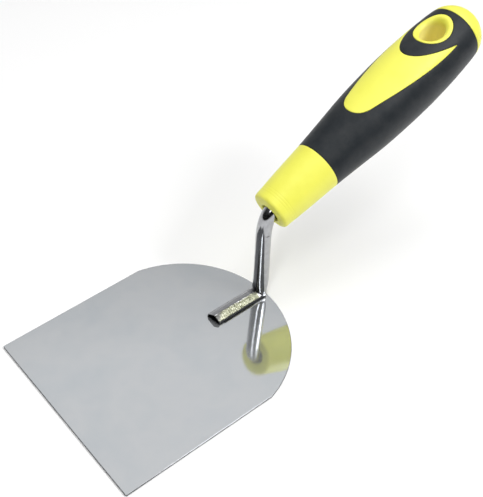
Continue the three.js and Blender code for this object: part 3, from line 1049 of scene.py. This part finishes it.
def build_grip(material):
    places, depths, faces = grip_skin()
    count = len(places)
    points = [on_skin(a, s, d) for (a, s), d in zip(places, depths)]
    points += [on_skin(a, s, GRIP_THICKNESS) for a, s in places]
    edges = {}
    for face in faces:
        for i in range(3):
            edge = (face[i], face[(i + 1) % 3])
            edges[frozenset(edge)] = None if frozenset(edge) in edges else edge
    walls = []
    for edge in edges.values():
        if edge is None:
            continue
        a, b = edge
        on_cut = all(min(abs(places[v][0] - CUT), abs(places[v][0] + 3 * CUT)) < 1e-6 for v in edge)
        if not on_cut:
            walls.append((a, b, b + count, a + count))
    under = [tuple(v + count for v in reversed(face)) for face in faces]
    make_piece("soft_grip", points, faces + under + walls, material, "grip_sleeve")


def core_skin():
    """The sheet of the core from its collar to its butt, without the hanging hole."""
    start = GRIP_START - CORE_MARGIN
    end = GRIP_END + CORE_MARGIN
    hidden = GRIP_THICKNESS + MOULDING_GAP
    sheet = Sheet()
    for row in (start, end):
        sheet.add(circle_row(row), 0, kept=True, closed=False)
    for row, side in ((GRIP_START, -1), (GRIP_END, 1)):
        sheet.add(circle_row(row), EDGE_ROUNDING, kept=True, closed=False)
        sheet.add(circle_row(row - side * WALL_LEAN), hidden, kept=True, closed=False)
        for step in ROUNDING_STEPS:
            sheet.add(circle_row(row + side * step), rounding(step, EDGE_ROUNDING))
    for land in LANDS:
        sheet.add(land, EDGE_ROUNDING, kept=True)
        sheet.add(grown(land, WALL_LEAN), hidden, kept=True)
        for step in ROUNDING_STEPS:
            ring = grown(land, -step)
            clear = np.ones(len(ring), bool)
            for lip in (lip_top, lip_under):
                clear &= ~inside(ring, lip) & (distance_to(ring, lip) > 0.05)
            sheet.add(ring[clear], rounding(step, EDGE_ROUNDING))
    for lip in (lip_top, lip_under):
        sheet.add(lip, 0, kept=True)
    points = lattice(start, end)
    gap = gap_to_lands(points, LANDS, GRIP_START, GRIP_END)
    in_hole = np.any([inside(points, lip) for lip in (lip_top, lip_under)], axis=0)
    near_hole = np.min([distance_to(points, lip) for lip in (lip_top, lip_under)], axis=0) < 0.35
    points = points[(gap > EDGE_ROUNDING + 0.3) & ~in_hole & ~near_hole]
    shown = np.any([inside(points, land) for land in LANDS], axis=0)
    shown |= (points[:, 1] < GRIP_START) | (points[:, 1] > GRIP_END)
    sheet.add(points, np.where(shown, 0.0, hidden))
    places, depths, faces = sheet.triangles()
    centres = np.array([np.mean(places[list(f)], axis=0) for f in faces])
    hole = np.any([inside(centres, lip) for lip in (lip_top, lip_under)], axis=0)
    return places, depths, [f for f, h in zip(faces, hole) if not h]


def hole_rows():
    """The wall of the hanging hole: rows of points from the top lip through the waist to the lip below."""
    turns = np.linspace(0, 2 * math.pi, len(lip_top), endpoint=False)
    fillet = [1 - math.cos(t) for t in np.linspace(0, math.pi / 2, 9)]
    half = []
    for share in fillet:
        half.append(("lip", share))
    for share in np.linspace(0, 1, 15)[1:]:
        half.append(("wall", share))
    rows = []
    for side in (1, -1):
        part = []
        for kind, share in half:
            row = []
            for t in turns:
                c, s = math.cos(t), math.sin(t)
                lip_x = LIP_HALF_WIDTH * c
                lip_s = HOLE_CENTRE + LIP_HALF_LENGTH * s
                top = math.sqrt(radius_at(lip_s) ** 2 - lip_x**2)
                if kind == "lip":
                    depth = HOLE_LIP_RADIUS * share
                    spread = HOLE_LIP_RADIUS - math.sqrt(max(0, 2 * HOLE_LIP_RADIUS * depth - depth**2))
                    height = top - depth
                else:
                    height = lerp(top - HOLE_LIP_RADIUS, 0, share)
                    spread = 0
                flare = min(1, (height / HOLE_MOUTH_HEIGHT) ** 2)
                waist = lerp(HOLE_WAIST, 1, flare)
                settle = 1 if kind == "wall" else share
                narrowing = lerp(1, waist, settle)
                x = (HOLE_HALF_WIDTH * narrowing + spread) * c
                along = HOLE_CENTRE + (HOLE_HALF_LENGTH * narrowing + spread) * s
                row.append(on_handle(x, along, side * height))
            part.append(row)
        rows += part if side > 0 else list(reversed(part))[1:]
    return rows


def nose_rows():
    """Rings from the end of the collar over the front rim, into the mouth and down the tang's pocket."""
    profile = []
    for s in np.linspace(GRIP_START - CORE_MARGIN, 7.4, 22):
        profile.append((float(radius_at(s)), float(s)))
    # Three faint turned rings run round the front of the collar.
    for s in np.linspace(7.2, 2.1, 50):
        groove = sum(math.exp(-(((s - at) / 0.28) ** 2)) for at in COLLAR_GROOVES)
        profile.append((float(radius_at(s)) - 0.06 * groove, float(s)))
    rim = bezier((float(radius_at(1.9)), 1.9), (10.55, 0.5), (10.3, -0.28), (8.8, -0.38), 14)
    profile += [tuple(p) for p in rim]
    face_start = len(profile)
    for r in np.linspace(NOSE_FACE_RADIUS, NOSE_MOUTH_RADIUS + NOSE_MOUTH_LIP, 26):
        groove = sum(math.exp(-(((r - at) / 0.2) ** 2)) for at in NOSE_FACE_GROOVES)
        dome = -0.35 - 0.55 * (1 - r / 9.3)
        profile.append((float(r), dome + 0.07 * groove))
    mouth_front = profile[-1][1]
    for t in np.linspace(0.2, 1, 5):
        angle = t * math.pi / 2
        out = NOSE_MOUTH_LIP * (1 - math.sin(angle))
        back = NOSE_MOUTH_LIP * (1 - math.cos(angle))
        profile.append((NOSE_MOUTH_RADIUS + out, mouth_front + back))
    profile.append((NOSE_MOUTH_RADIUS, NOSE_MOUTH_DEPTH))
    pocket = NECK_RADIUS + MOULDING_GAP
    rings = []
    for i, (r, s) in enumerate(profile):
        in_face = i >= face_start
        drop = NOSE_MOUTH_DROP * smoothstep(r, NOSE_FACE_RADIUS, NOSE_MOUTH_RADIUS) if in_face else 0
        rings.append((r, r, s, drop))
    rings.append((pocket, pocket, NOSE_MOUTH_DEPTH, 0))
    end = TANG_LENGTH + MOULDING_GAP
    for s in [20, 40, 60, *np.linspace(TANG_ROUND_TO, TANG_FLAT_FROM, 9), 83, end]:
        flat = smoothstep(s, TANG_ROUND_TO, TANG_FLAT_FROM)
        wide = lerp(pocket, TANG_TIP_HALF_WIDTH + MOULDING_GAP, flat)
        thin = lerp(pocket, TANG_TIP_HALF_THICKNESS + MOULDING_GAP, flat)
        rings.append((wide, thin, s, 0))
    return ring_rows(rings)


def ring_rows(rings):
    """Rows of points round the handle's centre line: a half width, half height, length and drop for each."""
    rows = []
    for wide, high, s, drop in rings:
        row = []
        for i in range(ROUND_STEPS):
            angle = (CUT - 2 * math.pi * UNROLL * i / ROUND_STEPS) / UNROLL
            row.append(on_handle(wide * math.sin(angle), s, high * math.cos(angle) - drop))
        rows.append(row)
    return rows


def butt_rows():
    first = GRIP_END + CORE_MARGIN
    rings = [(float(radius_at(first)), first)]
    rings += [(float(r), float(s)) for r, s in butt_curve if s > first + 0.3]
    return ring_rows([(r, r, s, 0) for r, s in rings])


def build_core(material):
    places, depths, faces = core_skin()
    points = [on_skin(a, s, d) for (a, s), d in zip(places, depths)]
    for rows, capped in ((nose_rows(), True), (butt_rows(), True), (hole_rows(), False)):
        count = len(rows[0])
        first = len(points)
        points += [p for row in rows for p in row]
        faces += row_faces(first, rows)
        if capped:
            last = len(points) - count
            points.append(sum(rows[-1], Vector()) / count)
            tip = len(points) - 1
            faces += [(last + i, last + (i + 1) % count, tip) for i in range(count)]
    make_piece("yellow_core", points, faces, material, "handle_core")


# ---------- Camera, floor and light ----------

VIEW_AZIMUTH = math.radians(45.9)
VIEW_ELEVATION = math.radians(43.07)
VIEW_ROLL = math.radians(4.03)
VIEW_DISTANCE = 0.4208
VIEW_TARGET = Vector((-0.03075, 0.07272, BLADE_TOP))
LENS = 55.706
FLOOR_SIZE = 6.0
FLOOR_DROP = 0.0002


def direction(azimuth, elevation):
    """Out from the object. Azimuth 0 is towards -Y and 90 towards +X, in radians."""
    flat = math.cos(elevation)
    return Vector((math.sin(azimuth) * flat, -math.cos(azimuth) * flat, math.sin(elevation)))


def add_camera():
    data = bpy.data.cameras.new("camera")
    data.lens = LENS
    data.clip_start = 0.01
    camera = bpy.data.objects.new("camera", data)
    bpy.context.scene.collection.objects.link(camera)
    back = direction(VIEW_AZIMUTH, VIEW_ELEVATION)
    level = Vector((math.cos(VIEW_AZIMUTH), math.sin(VIEW_AZIMUTH), 0))
    above = back.cross(level)
    right = level * math.cos(VIEW_ROLL) + above * math.sin(VIEW_ROLL)
    up = above * math.cos(VIEW_ROLL) - level * math.sin(VIEW_ROLL)
    pose = Matrix((right, up, back)).transposed().to_4x4()
    pose.translation = VIEW_TARGET + back * VIEW_DISTANCE
    camera.matrix_world = pose
    bpy.context.scene.camera = camera


def add_floor():
    bpy.ops.mesh.primitive_plane_add(size=FLOOR_SIZE, location=(0, 0, -FLOOR_DROP))
    floor = bpy.context.object
    floor.name = "floor"
    finish = {"Base Color": (0.97, 0.97, 0.97), "Roughness": 0.9, "Specular IOR Level": 0.0}
    floor.data.materials.append(material_graph("pale_floor").finish(finish))


def add_softbox(name, azimuth, elevation, distance, width, height, power):
    """A rectangular area light that looks at the middle of the object."""
    data = bpy.data.lights.new(name, "AREA")
    data.shape = "RECTANGLE"
    data.size = width
    data.size_y = height
    data.energy = power
    lamp = bpy.data.objects.new(name, data)
    bpy.context.scene.collection.objects.link(lamp)
    centre = (cad_box[0] + cad_box[1]) / 2
    out = direction(math.radians(azimuth), math.radians(elevation))
    lamp.location = centre + out * distance
    lamp.rotation_mode = "QUATERNION"
    lamp.rotation_quaternion = out.to_track_quat("Z", "Y")
    return lamp


def add_world():
    """A soft room: dark in front and low down, paler above and behind, dim on the right, lit at the left."""
    world = bpy.data.worlds.new("studio")
    bpy.context.scene.world = world
    graph = Graph(world, "Background")
    x, y, z = graph.split(graph.place("Generated"))
    sky = graph.ramp(z, (0.0, 0.05), (0.3, 0.1), (0.6, 0.49), (0.7, 0.68), (0.78, 0.95), (1.0, 1.0))
    depth = graph.mapped(y, -0.68, 0.24, 0.17, 1.0)
    from_right = graph.mapped(x, 0.05, 0.45, 1.0, 0.25)
    from_left = graph.mapped(x, -0.9, -0.68, 0.55, 0.0)
    near_horizon = graph.mapped(z, 0.25, 0.5, 1.0, 0.0)
    dome = graph.calculated("MULTIPLY", sky, depth, from_right)
    glow = graph.calculated("MULTIPLY", from_left, near_horizon)
    graph.finish({"Strength": graph.calculated("ADD", dome, glow), "Color": (1, 1, 1)})


bpy.context.scene.view_settings.view_transform = "Standard"
add_camera()
add_floor()
add_world()
add_softbox("key_box", 30, 49, 1.4, 0.2, 0.85, 3.9)
add_softbox("right_box", 138, 61, 1.4, 1.1, 0.56, 4.8)
add_softbox("side_box", 118, 44, 1.4, 0.5, 0.4, 5.5)
add_softbox("top_box", 0, 88, 1.6, 1.2, 1.2, 9.0).visible_glossy = False

build_blade(mirror_steel())
build_gooseneck(tube_steel())
weld = weld_steel_painted_shade()
build_seam("weld_bead_right", 1, weld)
build_seam("weld_bead_left", -1, weld)
build_core(yellow_plastic())
build_grip(dark_elastomer())
